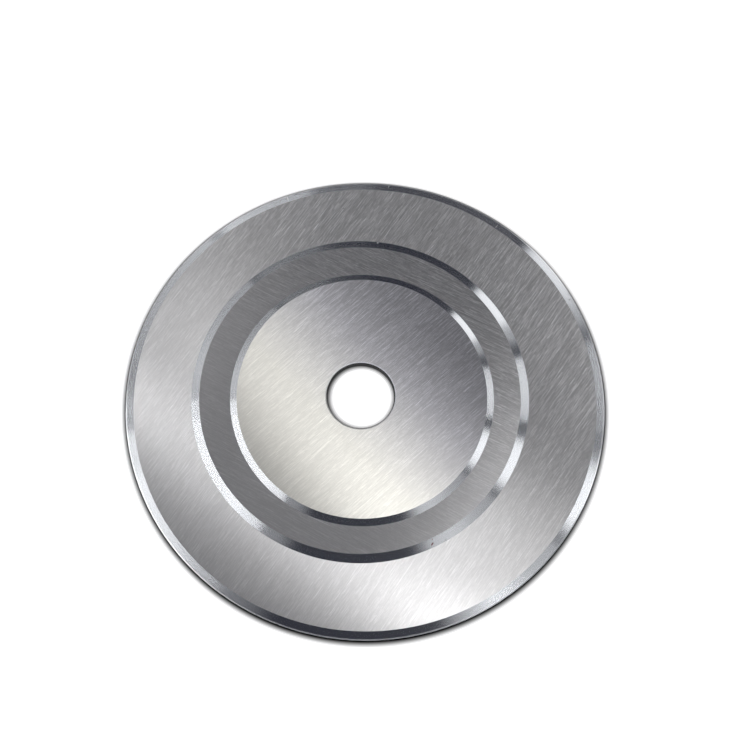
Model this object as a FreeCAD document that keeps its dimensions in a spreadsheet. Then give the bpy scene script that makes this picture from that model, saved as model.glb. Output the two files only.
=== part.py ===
import FreeCAD, Part
import math
import os
import Sketcher

# Round slicer blade in one piece of steel, in millimetres.
# The back is one flat ground face at Z = 0. The front rises from the cutting rim to the hub in
# flat lands, each ended by a narrow bevel that faces outward: rim bevel, outer land, middle
# bevel, middle land, hub bevel, hub land. The bore goes through along +Z.
# The origin is on the bore axis, at the back face.

DIMENSIONS = [
    ("blade_diameter", 180.0, "over the cutting edge"),
    ("bore_diameter", 25.4, "for a one inch arbor"),
    ("bore_chamfer", 0.35, "both ends of the bore, at 45 degrees"),
    ("outer_land_thickness", 1.2, "from the back to the outer land"),
    ("edge_thickness", 0.3, "upright land left at the cutting edge"),
    ("hone_width", 0.35, "radial width of the fine honed bevel at the edge"),
    ("hone_drop", 0.15, "height of the fine honed bevel"),
    ("rim_bevel_width", 3.2, "radial width from the edge to the outer land"),
    ("middle_land_diameter", 120.5, "flat top of the middle land"),
    ("middle_bevel_width", 3.25, "radial width of the bevel down to the outer land"),
    ("middle_land_rise", 1.25, "from the outer land to the middle land"),
    ("middle_offset_x", -0.9, "the middle land was ground a little off the bore axis"),
    ("middle_offset_y", 0.95, "the same, along Y"),
    ("hub_land_diameter", 93.6, "flat top of the hub"),
    ("hub_bevel_width", 2.6, "radial width of the bevel down to the middle land"),
    ("hub_land_rise", 1.1, "from the middle land to the hub land"),
]

# Sizes that follow from the ones above
DERIVED = [
    ("blade_radius", "=blade_diameter / 2"),
    ("hone_inner_radius", "=blade_radius - hone_width"),
    ("hone_top_height", "=edge_thickness + hone_drop"),
    ("outer_land_radius", "=blade_radius - rim_bevel_width"),
    ("middle_land_radius", "=middle_land_diameter / 2"),
    ("middle_foot_radius", "=middle_land_radius + middle_bevel_width"),
    ("middle_land_height", "=outer_land_thickness + middle_land_rise"),
    ("hub_land_radius", "=hub_land_diameter / 2"),
    ("hub_foot_radius", "=hub_land_radius + hub_bevel_width"),
    ("hub_land_height", "=middle_land_height + hub_land_rise"),
]

SHEET = "Dimensions"


def make_sheet(doc):
    sheet = doc.addObject("Spreadsheet::Sheet", SHEET)
    rows = [(alias, str(value), note) for alias, value, note in DIMENSIONS]
    rows += [(alias, formula, "") for alias, formula in DERIVED]
    for number, (alias, text, note) in enumerate(rows, start=1):
        sheet.set(f"A{number}", alias)
        sheet.set(f"B{number}", text)
        sheet.set(f"C{number}", note)
        sheet.setAlias(f"B{number}", alias)
    doc.recompute()
    return sheet


def origin_plane(body, role):
    return next(item for item in body.Origin.OriginFeatures if item.Role == role)


def new_sketch(body, name, role):
    sketch = body.newObject("Sketcher::SketchObject", name)
    sketch.AttachmentSupport = [(origin_plane(body, role), "")]
    sketch.MapMode = "FlatFace"
    return sketch


def add_half_section(sketch, sheet, corners):
    """Closed half section on the sketch's upright axis, whose corners are pairs of sheet names:
    a radius, or None on the axis, and a height, or None at the level of the back."""
    points = []
    for radius, height in corners:
        across = 0.0 if radius is None else float(sheet.get(radius))
        up = 0.0 if height is None else float(sheet.get(height))
        points.append(FreeCAD.Vector(across, up, 0))
    count = len(points)
    for index in range(count):
        sketch.addGeometry(Part.LineSegment(points[index], points[(index + 1) % count]), False)
    for index in range(count):
        sketch.addConstraint(Sketcher.Constraint("Coincident", index, 2, (index + 1) % count, 1))
    for index, (radius, height) in enumerate(corners):
        place(sketch, index, "DistanceX", points[index].x, radius)
        place(sketch, index, "DistanceY", points[index].y, height)


def place(sketch, index, kind, value, alias):
    """Holds a line's first point at a distance from the sketch's origin."""
    if alias is None:
        on_axis = {"DistanceX": -2, "DistanceY": -1}[kind]
        sketch.addConstraint(Sketcher.Constraint("PointOnObject", index, 1, on_axis))
        return
    number = sketch.addConstraint(Sketcher.Constraint(kind, -1, 1, index, 1, value))
    sketch.setExpression(f"Constraints[{number}]", f"{SHEET}.{alias}")


def add_revolved_land(doc, body, sheet, name, corners, offset=None):
    """Turned land: its half section swept round the sketch's upright axis."""
    sketch = new_sketch(body, name + "_section", "XZ_Plane")
    if offset is not None:
        across, deep = offset
        sketch.setExpression("AttachmentOffset.Base.x", f"{SHEET}.{across}")
        sketch.setExpression("AttachmentOffset.Base.z", f"-{SHEET}.{deep}")
    add_half_section(sketch, sheet, corners)
    land = body.newObject("PartDesign::Revolution", name)
    land.Profile = sketch
    land.ReferenceAxis = (sketch, ["V_Axis"])
    land.Angle = 360.0
    doc.recompute()
    return land


def add_bore(doc, body, sheet):
    sketch = new_sketch(body, "bore_circle", "XY_Plane")
    radius = float(sheet.get("bore_diameter")) / 2
    circle = sketch.addGeometry(Part.Circle(FreeCAD.Vector(), FreeCAD.Vector(0, 0, 1), radius), False)
    sketch.addConstraint(Sketcher.Constraint("Coincident", circle, 3, -1, 1))
    number = sketch.addConstraint(Sketcher.Constraint("Diameter", circle, 2 * radius))
    sketch.setExpression(f"Constraints[{number}]", f"{SHEET}.bore_diameter")
    bore = body.newObject("PartDesign::Pocket", "bore")
    bore.Profile = sketch
    bore.Type = "ThroughAll"
    bore.Midplane = True
    doc.recompute()
    return bore


def bore_rims(shape, radius):
    """Names of the round edges where the bore meets the back and the hub land."""
    names = []
    for number, edge in enumerate(shape.Edges, start=1):
        curve = edge.Curve
        if isinstance(curve, Part.Circle) and math.isclose(curve.Radius, radius, rel_tol=1e-6):
            names.append(f"Edge{number}")
    return names


def add_bore_chamfers(doc, body, sheet, bore):
    chamfer = body.newObject("PartDesign::Chamfer", "bore_chamfers")
    chamfer.Base = (bore, bore_rims(bore.Shape, float(sheet.get("bore_diameter")) / 2))
    chamfer.setExpression("Size", f"{SHEET}.bore_chamfer")
    doc.recompute()
    return chamfer


def make_blade(doc, sheet):
    body = doc.addObject("PartDesign::Body", "slicer_blade")
    body.Label = "slicer_blade"
    body.Placement = FreeCAD.Placement()
    add_revolved_land(doc, body, sheet, "outer_disc", [
        (None, None),
        ("blade_radius", None),
        ("blade_radius", "edge_thickness"),
        ("hone_inner_radius", "hone_top_height"),
        ("outer_land_radius", "outer_land_thickness"),
        (None, "outer_land_thickness"),
    ])
    add_revolved_land(doc, body, sheet, "middle_land", [
        (None, "outer_land_thickness"),
        ("middle_foot_radius", "outer_land_thickness"),
        ("middle_land_radius", "middle_land_height"),
        (None, "middle_land_height"),
    ], offset=("middle_offset_x", "middle_offset_y"))
    add_revolved_land(doc, body, sheet, "hub_land", [
        (None, "middle_land_height"),
        ("hub_foot_radius", "middle_land_height"),
        ("hub_land_radius", "hub_land_height"),
        (None, "hub_land_height"),
    ])
    before = body.Shape.Volume
    bore = add_bore(doc, body, sheet)
    removed = before - bore.Shape.Volume
    thickness = float(sheet.get("hub_land_height"))
    expected = math.pi * float(sheet.get("bore_diameter")) ** 2 / 4 * thickness
    if not math.isclose(removed, expected, rel_tol=0.001):
        raise RuntimeError(f"the bore took away {removed:.2f}, not {expected:.2f} cubic millimetres")
    add_bore_chamfers(doc, body, sheet, bore)
    return body


def check(doc, bodies):
    for item in doc.Objects:
        if "Invalid" in item.State or "Error" in item.State:
            raise RuntimeError(f"{item.Label} failed: {item.State}")
    for body in bodies:
        shape = body.Shape
        if shape.isNull() or not shape.isValid() or len(shape.Solids) != 1:
            raise RuntimeError(f"{body.Label} is not one valid solid")
        box = shape.BoundBox
        print(body.Label, "volume", round(shape.Volume, 2), "faces", len(shape.Faces))
        print("size", round(box.XLength, 3), round(box.YLength, 3), round(box.ZLength, 3))


def main():
    doc = FreeCAD.newDocument("slicer_blade_model")
    sheet = make_sheet(doc)
    bodies = [make_blade(doc, sheet)]
    doc.recompute()
    check(doc, bodies)
    os.makedirs("parts", exist_ok=True)
    for body in bodies:
        body.Shape.exportStep(f"parts/{body.Label}.step")


main()
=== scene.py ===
import math
import bmesh
import bpy
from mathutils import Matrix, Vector

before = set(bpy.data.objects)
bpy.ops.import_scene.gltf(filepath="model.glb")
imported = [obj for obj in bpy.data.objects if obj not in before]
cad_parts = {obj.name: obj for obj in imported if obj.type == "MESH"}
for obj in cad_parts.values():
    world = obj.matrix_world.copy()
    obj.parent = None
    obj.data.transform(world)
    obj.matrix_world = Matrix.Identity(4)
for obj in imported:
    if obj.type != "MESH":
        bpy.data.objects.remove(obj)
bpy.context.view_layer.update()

# Round slicer blade of ground steel, lying on its flat back on a pale table.
# Everything is in metres. Places inside the materials are in millimetres.

mm = 0.001


def linear(colour):
    # sRGB hex to the linear numbers that the shaders take
    parts = [int(colour[start:start + 2], 16) / 255 for start in (1, 3, 5)]
    parts = [part / 12.92 if part <= 0.04045 else ((part + 0.055) / 1.055) ** 2.4 for part in parts]
    return parts + [1.0]


def add(tree, kind, inputs, output=0, **settings):
    # one node with its settings and links, and the socket that it gives; the inputs are in the
    # order of its sockets, or by their names or numbers
    made = tree.nodes.new("ShaderNode" + kind)
    for name, value in settings.items():
        setattr(made, name, value)
    named = inputs if isinstance(inputs, dict) else dict(enumerate(inputs))
    for socket, source in named.items():
        if isinstance(source, bpy.types.NodeSocket):
            tree.links.new(source, made.inputs[socket])
        else:
            made.inputs[socket].default_value = source
    return made.outputs[output] if made.outputs else made


def emptyTree(owner):
    owner.use_nodes = True
    owner.node_tree.nodes.clear()
    return owner.node_tree


def link(made):
    bpy.context.collection.objects.link(made)
    return made


def meshObject(name, work, material):
    mesh = bpy.data.meshes.new(name)
    work.to_mesh(mesh)
    work.free()
    mesh.materials.append(material)
    return link(bpy.data.objects.new(name, mesh))


# Camera: above the blade and a little in front of it, looking down
camera = {
    "place": (-22.67, -104.89, 351.49),  # mm
    "rotation": (14.77, 4.383, -6.825),  # degrees
    "lens": 46.3,  # mm, as is the sensor's width
    "sensor": 36,
    "shiftX": 0.1493,
    "shiftY": 0.0807,
    "nearest": 0.01,  # m
    "farthest": 20,
}


def makeCamera(values):
    data = bpy.data.cameras.new("camera")
    data.lens = values["lens"]
    data.sensor_width = values["sensor"]
    data.shift_x = values["shiftX"]
    data.shift_y = values["shiftY"]
    data.clip_start = values["nearest"]
    data.clip_end = values["farthest"]
    made = link(bpy.data.objects.new("camera", data))
    made.rotation_euler = [math.radians(angle) for angle in values["rotation"]]
    made.location = Vector(values["place"]) * mm
    bpy.context.scene.camera = made
    print("camera placed")


# Ground steel: hardened tool steel, each land wiped one way across a flat stone and the bevels
# ground round. To the eye it is a grey metal with fine straight lines, and each highlight spreads
# into a long streak across them.
steel = {
    "landColour": "#CCCBCB",
    "bevelColour": "#C8CACD",
    "honeColour": "#E4E5E8",
    "chamferColour": "#E4E5E8",
    # painted shade: the bore's wall is nearly black
    "boreColour": "#08080A",
    "landRoughness": 0.29,
    "bevelRoughness": 0.193,
    "honeRoughness": 0.3,
    "chamferRoughness": 0.45,
    "boreRoughness": 1.0,
    "anisotropy": 0.93,
    "outerGrain": 47,  # degrees from +X, the way the grinding lines run
    "middleGrain": -36,
    "hubGrain": 34,
    # edges of the lands and bevels, in mm
    "honeRadius": 89.5,
    "rimRadius": 86.8,
    "middleFoot": 63.5,
    "middleRadius": 60.25,
    "middleCentre": (-0.9, 0.95, 0),
    "hubFoot": 49.4,
    "hubRadius": 46.8,
    "chamferRadius": 13.05,
    "boreRadius": 12.84,
    "boreCentre": (0.1, 0.06, 0),
    # how far up a face must look to be on the front: 1 is straight up and -1 straight down
    "frontFacing": -0.5,
    # the bore's edge has a painted highlight on one side and painted shade on the other: the way to
    # the bright side, and how far it takes to change, in mm
    "glintRingRadius": 13.3,
    "paintedHighlightColour": "#E4E5E8",
    "paintedShadeColour": "#A0A0A2",
    "highlightWay": (0.5, 0.87, 0),
    "highlightReach": 9,
    # the bore's wall is painted dark as shade, and paler below this height in mm as painted light from the
    # table at its foot
    "boreFootPaintedLight": "#2E2E31",
    "boreFootHeight": 1.2,
    # painted light: the hub is tinted warm at its lower left, where it is lit, and cool at its upper right,
    # where it is in shade
    "warmLightTint": "#FFFEF6",
    "coolShadeTint": "#FAFAFF",
    "warmWay": (-0.82, -0.57, 0),
    "tintReach": 16,
    # Grinding lines as rows of dashes: length and width in mm, share of the pattern, how much they
    # lean off the grain, and a power: the higher it is, the fewer of them stand out. The finest
    # real ones are under a tenth of a millimetre apart, too fine to show, so they are drawn coarser.
    "dashes": {
        "short": (1.5, 0.13, 0.8, 0.04, 6),
        "middling": (4.5, 0.14, 1.0, -0.02, 6),
        "long": (15, 0.15, 0.9, 0.0, 6),
        "grit": (0.5, 0.15, 0.3, 0.1, 3),
        "hairlines": (3.2, 0.24, 0.9, 0.02, 12),
        "bands": (60, 1.6, 0.08, 0.0, 1),
    },
    "linesOnLands": 1.0,
    "linesOnBevels": 0.05,
    "shadeOfLines": 0.27,
    "roughnessOfLines": 0.006,
    # the lines are cut deeper at the upper right: the way there, the places along it in mm where
    # that starts and is full, and how deep they are before and after it
    "deepWay": (0.71, 0.71, 0),
    "deepFrom": -20,
    "deepTo": 60,
    "shallowLines": 0.62,
    "deepLines": 1.8,
    # a mark starts and is full at these shares of its half size
    "markStart": 1.2,
    "markFull": 0.6,
}

# Nicks, scratches and specks: place, length and width in mm, direction in degrees, and what it is
marks = {
    "edgeNick": ((15.8, 61.8), 0.9, 0.7, 30, "bare"),
    "nickBelow": ((17.3, 58.0), 0.7, 0.5, 0, "bare"),
    "hubNickUpper": ((45.3, -14.2), 1.3, 0.35, 60, "bare"),
    "hubNickLower": ((45.5, -15.6), 1.0, 0.4, -50, "bare"),
    "longScratch": ((-21.7, -44.9), 10.5, 0.18, -33, "bare"),
    "rustSpot": ((17.5, -58.5), 1.4, 0.5, 50, "rust"),
    "rustDot": ((17.7, -56.9), 0.4, 0.4, 0, "rust"),
    "edgeSpeck": ((22.6, -57.7), 0.6, 0.35, 80, "dirt"),
    "bevelDotUpper": ((60.0, -3.0), 0.4, 0.3, 0, "dirt"),
    "bevelDotLower": ((58.4, -12.0), 0.4, 0.3, 0, "dirt"),
    "rimScratchRight": ((62.8, 61.9), 2.4, 0.22, 45, "bare"),
    "rimScratchTop": ((23.9, 85.7), 0.9, 0.3, 74, "bare"),
    "rimScratchLeft": ((-16.8, 86.6), 2.0, 0.2, 101, "bare"),
    "rimDot": ((84.2, 27.3), 0.8, 0.35, 18, "dirt"),
    "landDot": ((4.7, 78.8), 0.5, 0.35, 0, "dirt"),
    "landDash": ((37.6, 63.9), 1.2, 0.35, 60, "dirt"),
}
markFinishes = {  # colour and roughness
    "bare": ("#FFFFFF", 0.5),
    "rust": ("#7A3A3C", 0.6),
    "dirt": ("#6A686A", 0.4),
}


def steelMaterial(values):
    material = bpy.data.materials.new("groundToolSteel")
    tree = emptyTree(material)
    coordinates = add(tree, "TexCoord", [], "Object").node.outputs
    place = add(tree, "VectorMath", [coordinates["Object"], [1 / mm] * 3], operation="MULTIPLY")
    flat = add(tree, "VectorMath", [place, (1, 1, 0)], operation="MULTIPLY")
    radius = add(tree, "VectorMath", [flat], "Value", operation="LENGTH")
    fromMiddle = add(tree, "VectorMath", [flat, values["middleCentre"]], operation="SUBTRACT")
    middleRadius = add(tree, "VectorMath", [fromMiddle], "Value", operation="LENGTH")
    fromBore = add(tree, "VectorMath", [flat, values["boreCentre"]], operation="SUBTRACT")
    wallRadius = add(tree, "VectorMath", [fromBore], "Value", operation="LENGTH")
    up = add(tree, "SeparateXYZ", [coordinates["Normal"]]).node.outputs[2]
    front = add(tree, "Math", [up, values["frontFacing"]], operation="GREATER_THAN")
    back = add(tree, "Math", [1.0, front], operation="SUBTRACT")

    def inside(distance, name):
        return add(tree, "Math", [distance, values[name]], operation="LESS_THAN")

    # A finish is the way down the slope, or across the lines; the place that the lines are read
    # at, with X along them; the roughness; how deep the lines are; and the colour
    def bevel(centred, distance, name="bevel"):
        parts = add(tree, "SeparateXYZ", [centred]).node.outputs
        angle = add(tree, "Math", [parts[1], parts[0]], operation="ARCTAN2")
        length = add(tree, "Math", [angle, distance], operation="MULTIPLY")
        around = add(tree, "CombineXYZ", [length, distance])
        colour = linear(values[name + "Colour"])
        return centred, around, values[name + "Roughness"], values["linesOnBevels"], colour

    def land(grain):
        angle = math.radians(values[grain])
        turned = add(tree, "Mapping", {"Vector": place, "Rotation": (0, 0, angle)}, vector_type="TEXTURE")
        across = (-math.sin(angle), math.cos(angle), 0)
        colour = linear(values["landColour"])
        return across, turned, values["landRoughness"], values["linesOnLands"], colour

    # from the rim inwards, each over what came before it
    bore = inside(wallRadius, "boreRadius")
    slope, lines, roughness, depth, colour = bevel(flat, radius, "hone")
    for mask, finish in (
        (inside(radius, "honeRadius"), bevel(flat, radius)),
        (inside(radius, "rimRadius"), land("outerGrain")),
        (inside(middleRadius, "middleFoot"), bevel(fromMiddle, middleRadius)),
        (inside(middleRadius, "middleRadius"), land("middleGrain")),
        (inside(radius, "hubFoot"), bevel(flat, radius)),
        (inside(radius, "hubRadius"), land("hubGrain")),
        (inside(radius, "chamferRadius"), bevel(flat, radius, "chamfer")),
        (back, land("outerGrain")),
        (bore, bevel(flat, radius, "bore")),
    ):
        slope = add(tree, "Mix", {0: mask, 4: slope, 5: finish[0]}, 1, data_type="VECTOR")
        lines = add(tree, "Mix", {0: mask, 4: lines, 5: finish[1]}, 1, data_type="VECTOR")
        roughness = add(tree, "Mix", {0: mask, 2: roughness, 3: finish[2]}, 0, data_type="FLOAT")
        depth = add(tree, "Mix", {0: mask, 2: depth, 3: finish[3]}, 0, data_type="FLOAT")
        colour = add(tree, "Mix", {0: mask, 6: colour, 7: finish[4]}, 2, data_type="RGBA")

    along, across = add(tree, "SeparateXYZ", [lines]).node.outputs[:2]
    pattern = 0.0
    for length, width, share, lean, power in values["dashes"].values():
        leaning = add(tree, "Math", [along, lean, across], operation="MULTIPLY_ADD")
        rows = add(tree, "Math", [leaning, width], operation="DIVIDE")
        row = add(tree, "Math", [rows], operation="FLOOR")
        start = add(tree, "TexWhiteNoise", {"W": row}, noise_dimensions="1D")
        started = add(tree, "Math", [along, 1 / length, start], operation="MULTIPLY_ADD")
        dash = add(tree, "Math", [started], operation="FLOOR")
        cell = add(tree, "CombineXYZ", [dash, row, length])
        tone = add(tree, "TexWhiteNoise", {"Vector": cell})
        raised = add(tree, "Math", [tone, power], operation="POWER")
        average = 1 / (power + 1)
        standing = add(tree, "Math", [raised, average], operation="SUBTRACT")
        pattern = add(tree, "Math", [standing, share, pattern], operation="MULTIPLY_ADD")
    towardsDeep = add(tree, "VectorMath", [flat, values["deepWay"]], "Value", operation="DOT_PRODUCT")
    cut = add(tree, "MapRange", {
        "Value": towardsDeep,
        "From Min": values["deepFrom"],
        "From Max": values["deepTo"],
        "To Min": values["shallowLines"],
        "To Max": values["deepLines"],
    }, interpolation_type="SMOOTHSTEP")
    pattern = add(tree, "Math", [pattern, depth], operation="MULTIPLY")
    pattern = add(tree, "Math", [pattern, cut], operation="MULTIPLY")
    shade = add(tree, "Math", [pattern, values["shadeOfLines"], 1.0], operation="MULTIPLY_ADD")
    roughness = add(tree, "Math", [pattern, values["roughnessOfLines"], roughness],
                    operation="MULTIPLY_ADD")

    # a colour that goes from one side of the bore to the other
    def blend(way, reach, start, end):
        part = add(tree, "MapRange", {
            "Value": add(tree, "VectorMath", [flat, values[way]], "Value", operation="DOT_PRODUCT"),
            "From Min": -values[reach],
            "From Max": values[reach],
        })
        colours = {6: linear(values[start]), 7: linear(values[end])}
        return add(tree, "Mix", {0: part, **colours}, 2, data_type="RGBA")

    # painted highlight round the bore's edge on one side, painted shade on the other
    glintRing = inside(radius, "glintRingRadius")
    edge = blend("highlightWay", "highlightReach", "paintedShadeColour", "paintedHighlightColour")
    colour = add(tree, "Mix", {0: glintRing, 6: colour, 7: edge}, 2, data_type="RGBA")
    # painted shade on the bore's wall, paler at its foot as painted light from the table
    height = add(tree, "SeparateXYZ", [place]).node.outputs[2]
    upTheWall = add(tree, "MapRange", {"Value": height, "From Max": values["boreFootHeight"]},
                 interpolation_type="SMOOTHSTEP")
    footLight, wallShade = linear(values["boreFootPaintedLight"]), linear(values["boreColour"])
    wall = add(tree, "Mix", {0: upTheWall, 6: footLight, 7: wallShade}, 2, data_type="RGBA")
    colour = add(tree, "Mix", {0: bore, 6: colour, 7: wall}, 2, data_type="RGBA")

    white = (1, 1, 1, 1)
    # painted light and shade: a warm tint on the hub's lit lower left, a cool one on its shaded upper right
    hub = add(tree, "Math", [inside(radius, "hubRadius"), front], operation="MULTIPLY")
    tint = blend("warmWay", "tintReach", "coolShadeTint", "warmLightTint")
    tint = add(tree, "Mix", {0: hub, 6: white, 7: tint}, 2, data_type="RGBA")
    for factor in (tint, shade):
        colour = add(tree, "Mix", {0: 1.0, 6: colour, 7: factor}, 2, data_type="RGBA", blend_type="MULTIPLY")

    for (x, y), length, width, direction, kind in marks.values():
        local = add(tree, "Mapping", {
            "Vector": flat,
            "Location": (x, y, 0),
            "Rotation": (0, 0, math.radians(direction)),
            "Scale": (length / 2, width / 2, 1),
        }, vector_type="TEXTURE")
        distance = add(tree, "VectorMath", [local], "Value", operation="LENGTH")
        mark = add(tree, "MapRange", {
            "Value": distance,
            "From Min": values["markStart"],
            "From Max": values["markFull"],
        }, interpolation_type="SMOOTHSTEP")
        mark = add(tree, "Math", [mark, front], operation="MULTIPLY")
        markColour, markRoughness = markFinishes[kind]
        colour = add(tree, "Mix", {0: mark, 6: colour, 7: linear(markColour)}, 2, data_type="RGBA")
        roughness = add(tree, "Mix", {0: mark, 2: roughness, 3: markRoughness}, 0, data_type="FLOAT")

    # the bore's wall, painted dark as shade, isn't a metal
    shader = add(tree, "BsdfPrincipled", {
        "Base Color": colour,
        "Metallic": add(tree, "Math", [1.0, bore], operation="SUBTRACT"),
        "Roughness": roughness,
        "Anisotropic": values["anisotropy"],
        "Tangent": add(tree, "VectorMath", [slope], operation="NORMALIZE"),
    })
    add(tree, "OutputMaterial", {"Surface": shader})
    return material


# Table: white and matt, with painted shadow in its colour, so the blade's edge shows as a fine dark line
# with a soft shadow below it
table = {
    "halfWidth": 3.0,  # m
    "gap": 0.05,  # mm below the blade's back
    # the ring that the blade covers: the radius of its middle, and half its width, in mm
    "coveredRadius": 51.5,
    "coveredHalf": 38,
    # painted shadows on the table: the soft shadow round the blade, the darker line under its edge,
    # and the soft shadow inside the bore: radius, place and softness in mm
    "rimShadow": (91.2, (-0.08, -0.67, 0), 1.7),
    "edgeShadow": (90.3, (0, 0, 0), 0.35),
    "boreShadow": (11.75, (0.4, 0.2, 0), 1.5),
    # how white it shows near the blade, and far off where the lamps fall away, with the places in mm
    "glow": 0.75,
    "farGlow": 1.0,
    "farFrom": 300,
    "farTo": 1200,
}


def showsWhite(tree):
    # the white that the camera sees, and that polished metal mirrors
    path = add(tree, "LightPath", []).node.outputs
    seen = add(tree, "Math", [path["Is Camera Ray"], path["Is Glossy Ray"]], operation="MAXIMUM")
    return add(tree, "Math", [seen, path["Is Transmission Ray"]], operation="MAXIMUM")


def tableMaterial(values):
    material = bpy.data.materials.new("matWhiteTable")
    tree = emptyTree(material)
    metres = add(tree, "TexCoord", [], "Object")
    place = add(tree, "VectorMath", [metres, (1 / mm, 1 / mm, 0)], operation="MULTIPLY")

    def distance(centre):
        moved = add(tree, "VectorMath", [place, centre], operation="SUBTRACT")
        return add(tree, "VectorMath", [moved], "Value", operation="LENGTH")

    def edge(radius, centre, softness):
        return add(tree, "MapRange", {
            "Value": distance(centre),
            "From Min": radius - softness,
            "From Max": radius + softness,
        }, interpolation_type="SMOOTHSTEP")

    # painted shadow: the table's colour goes dark round and under the blade's edge and inside the bore
    rim, underRim, inBore = [edge(*values[name]) for name in ("rimShadow", "edgeShadow", "boreShadow")]
    outside = add(tree, "Math", [rim, underRim], operation="MULTIPLY")
    bore = add(tree, "Math", [1.0, inBore], operation="SUBTRACT")
    lit = add(tree, "Math", [outside, bore], operation="MAXIMUM")
    colour = add(tree, "CombineColor", [lit, lit, lit])
    away = distance((0, 0, 0))
    strength = add(tree, "MapRange", {
        "Value": away,
        "From Min": values["farFrom"],
        "From Max": values["farTo"],
        "To Min": values["glow"],
        "To Max": values["farGlow"],
    })
    glow = add(tree, "Math", [showsWhite(tree), strength], operation="MULTIPLY")
    matt = add(tree, "BsdfDiffuse", {"Color": colour})
    shown = add(tree, "Emission", {"Color": colour, "Strength": glow})
    both = add(tree, "AddShader", [matt, shown])
    # clear from below and where the blade covers it, so that the blade's back can be looked at
    below = add(tree, "NewGeometry", [], "Backfacing")
    covered = add(tree, "Math", [away, values["coveredRadius"], values["coveredHalf"]], operation="COMPARE")
    hidden = add(tree, "Math", [below, covered], operation="MAXIMUM")
    clear = add(tree, "BsdfTransparent", [])
    sided = add(tree, "MixShader", [hidden, both, clear])
    add(tree, "OutputMaterial", {"Surface": sided})
    return material


def makeTable(values):
    work = bmesh.new()
    bmesh.ops.create_grid(work, x_segments=1, y_segments=1, size=values["halfWidth"])
    made = meshObject("table", work, tableMaterial(values))
    made.location.z = -values["gap"] * mm
    print("table made")


# Studio: a dim room of dark cloth round the table, so that the steel mirrors its lamps on grey,
# and a white world beyond it, which the camera sees
studio = {
    "roomRadius": 2.4,  # m
    "roomRings": 24,
    "roomColour": "#2A2C38",
    "roomColourBelow": "#9A9A9D",  # under the table, for the blade's back
    "lampDistance": 1.5,  # m
}

# azimuth from +X and tilt from straight up, then width and height as seen from the blade, all in
# degrees, and how bright the lamp looks
lamps = {
    "overheadRight": (12.5, 9.5, 3, 8.5, 7.1),
    "overheadBack": (62.5, 12.5, 23, 5, 2.3),
    "keyLamp": (329, 18.5, 4.5, 5.5, 27),
    "overheadLeft": (105, 34, 4.5, 32, 1.7),
    "backLeftSpot": (128.5, 29, 4, 4.5, 14),
    "rightUpperStrip": (4, 36, 26, 3.5, 4.2),
    "frontRightSoftbox": (316, 38, 25, 16.5, 0.97),
    "leftSoftbox": (197.5, 37.5, 37.5, 15.5, 0.48),
    "leftSpot": (145, 35.5, 5, 3, 9.8),
    "leftUpperStrip": (186, 41.5, 39, 4, 5),
    "backRightTallStrip": (31, 44, 4.5, 41.5, 0.8),
    "backUpperStrip": (98.5, 50.5, 14.5, 6.5, 2.9),
    "backLowerStrip": (92.5, 52.5, 22.5, 3, 1.4),
    "backLeftSoftbox": (132.5, 57, 37, 6.5, 2.2),
    "backRightStrip": (76.5, 54.5, 44.5, 4, 0.54),
    "rightLowerStrip": (12.5, 58, 18.5, 4, 4.8),
    "leftLowerStrip": (180, 60.5, 43.5, 10.5, 5.6),
    "rightTallStrip": (347, 64, 15, 49.5, 1.6),
    "rightBackSoftbox": (40, 78.5, 12, 58.5, 1.6),
    "frontLowSoftbox": (250, 76, 100, 16, 3),
}


def makeLamp(name, azimuth, tilt, wide, high, brightness):
    distance = studio["lampDistance"]
    data = bpy.data.lights.new(name, "AREA")
    data.shape = "RECTANGLE"
    data.size = 2 * distance * math.tan(math.radians(high) / 2)
    data.size_y = 2 * distance * math.tan(math.radians(wide) / 2)
    data.energy = brightness * data.size * data.size_y * math.pi  # at 1 it looks white
    lamp = link(bpy.data.objects.new(name, data))
    lamp.rotation_euler = (0, math.radians(tilt), math.radians(azimuth))
    lamp.location = lamp.rotation_euler.to_matrix() @ Vector((0, 0, distance))
    lamp.visible_camera = False


def makeRoom(values):
    work = bmesh.new()
    rings = values["roomRings"]
    bmesh.ops.create_uvsphere(work, u_segments=2 * rings, v_segments=rings, radius=values["roomRadius"])
    material = bpy.data.materials.new("darkFeltCloth")
    tree = emptyTree(material)
    place = add(tree, "TexCoord", [], "Object")
    height = add(tree, "SeparateXYZ", [place]).node.outputs[2]
    above = add(tree, "Math", [height, 0.0], operation="GREATER_THAN")
    lower, upper = linear(values["roomColourBelow"]), linear(values["roomColour"])
    colour = add(tree, "Mix", {0: above, 6: lower, 7: upper}, 2, data_type="RGBA")
    cloth = add(tree, "Emission", {"Color": colour})
    add(tree, "OutputMaterial", {"Surface": cloth})
    room = meshObject("darkRoom", work, material)
    room.visible_camera = False
    room.visible_shadow = False
    world = bpy.data.worlds.new("whiteWorld")
    tree = emptyTree(world)
    sky = add(tree, "Background", {"Strength": showsWhite(tree), "Color": (1, 1, 1, 1)})
    add(tree, "OutputWorld", {"Surface": sky})
    bpy.context.scene.world = world
    print("room made")


makeCamera(camera)
blade = bpy.data.objects["slicer_blade"]
blade.material_slots[0].material = steelMaterial(steel)
print("steel finished")
makeTable(table)
makeRoom(studio)
for name, values in lamps.items():
    makeLamp(name, *values)
print("lamps placed")
bpy.context.scene.view_settings.view_transform = "Standard"
